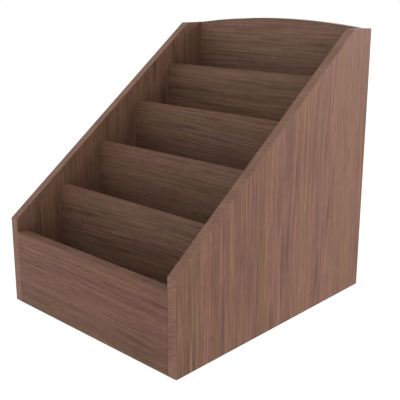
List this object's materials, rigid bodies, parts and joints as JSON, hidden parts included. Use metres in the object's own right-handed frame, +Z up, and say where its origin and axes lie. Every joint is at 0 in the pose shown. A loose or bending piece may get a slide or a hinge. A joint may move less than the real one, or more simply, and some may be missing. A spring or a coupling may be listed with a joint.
{
  "type": "magazine rack",
  "caption": "Freestanding stepped magazine rack in walnut-faced board: full-width tiered pockets between sloping sides, with a low front and an arched back.",
  "frame": {"origin": "middle of the footprint, on the surface the rack stands on", "axes": "+Z up; the low open front faces -Y and the arched back is at +Y; +X to the right of someone who faces the front"},
  "size_m": [0.47, 0.5588, 0.5636],
  "materials": {
    "walnut_board": "satin walnut facing on both sides of a board, fine straight grain with soft darker streaks",
    "walnut_edging": "satin walnut edging strip with eased corners",
    "dowel_beech": "unfinished turned beech"
  },
  "bodies": {
    "root": {"side_left": "walnut_board", "side_right": "walnut_board", "front_panel": "walnut_board", "divider_1": "walnut_board", "divider_2": "walnut_board", "divider_3": "walnut_board", "divider_4": "walnut_board", "back_panel": "walnut_board", "floor_1": "walnut_board", "floor_2": "walnut_board", "floor_3": "walnut_board", "floor_4": "walnut_board", "floor_5": "walnut_board", "edging_side_left": "walnut_edging", "edging_side_right": "walnut_edging", "edging_front_panel": "walnut_edging", "edging_divider_1": "walnut_edging", "edging_divider_2": "walnut_edging", "edging_divider_3": "walnut_edging", "edging_divider_4": "walnut_edging", "edging_back_panel": "walnut_edging", "dowel_left_front_panel_1": "dowel_beech", "dowel_left_front_panel_2": "dowel_beech", "dowel_left_divider_1_1": "dowel_beech", "dowel_left_divider_1_2": "dowel_beech", "dowel_left_divider_2_1": "dowel_beech", "dowel_left_divider_2_2": "dowel_beech", "dowel_left_divider_3_1": "dowel_beech", "dowel_left_divider_3_2": "dowel_beech", "dowel_left_divider_4_1": "dowel_beech", "dowel_left_divider_4_2": "dowel_beech", "dowel_left_floor_1": "dowel_beech", "dowel_left_floor_2": "dowel_beech", "dowel_left_floor_3": "dowel_beech", "dowel_left_floor_4": "dowel_beech", "dowel_left_floor_5": "dowel_beech", "dowel_left_back_panel_1": "dowel_beech", "dowel_left_back_panel_2": "dowel_beech", "dowel_left_back_panel_3": "dowel_beech", "dowel_left_back_panel_4": "dowel_beech", "dowel_right_front_panel_1": "dowel_beech", "dowel_right_front_panel_2": "dowel_beech", "dowel_right_divider_1_1": "dowel_beech", "dowel_right_divider_1_2": "dowel_beech", "dowel_right_divider_2_1": "dowel_beech", "dowel_right_divider_2_2": "dowel_beech", "dowel_right_divider_3_1": "dowel_beech", "dowel_right_divider_3_2": "dowel_beech", "dowel_right_divider_4_1": "dowel_beech", "dowel_right_divider_4_2": "dowel_beech", "dowel_right_floor_1": "dowel_beech", "dowel_right_floor_2": "dowel_beech", "dowel_right_floor_3": "dowel_beech", "dowel_right_floor_4": "dowel_beech", "dowel_right_floor_5": "dowel_beech", "dowel_right_back_panel_1": "dowel_beech", "dowel_right_back_panel_2": "dowel_beech", "dowel_right_back_panel_3": "dowel_beech", "dowel_right_back_panel_4": "dowel_beech"}
  },
  "joints": []
}
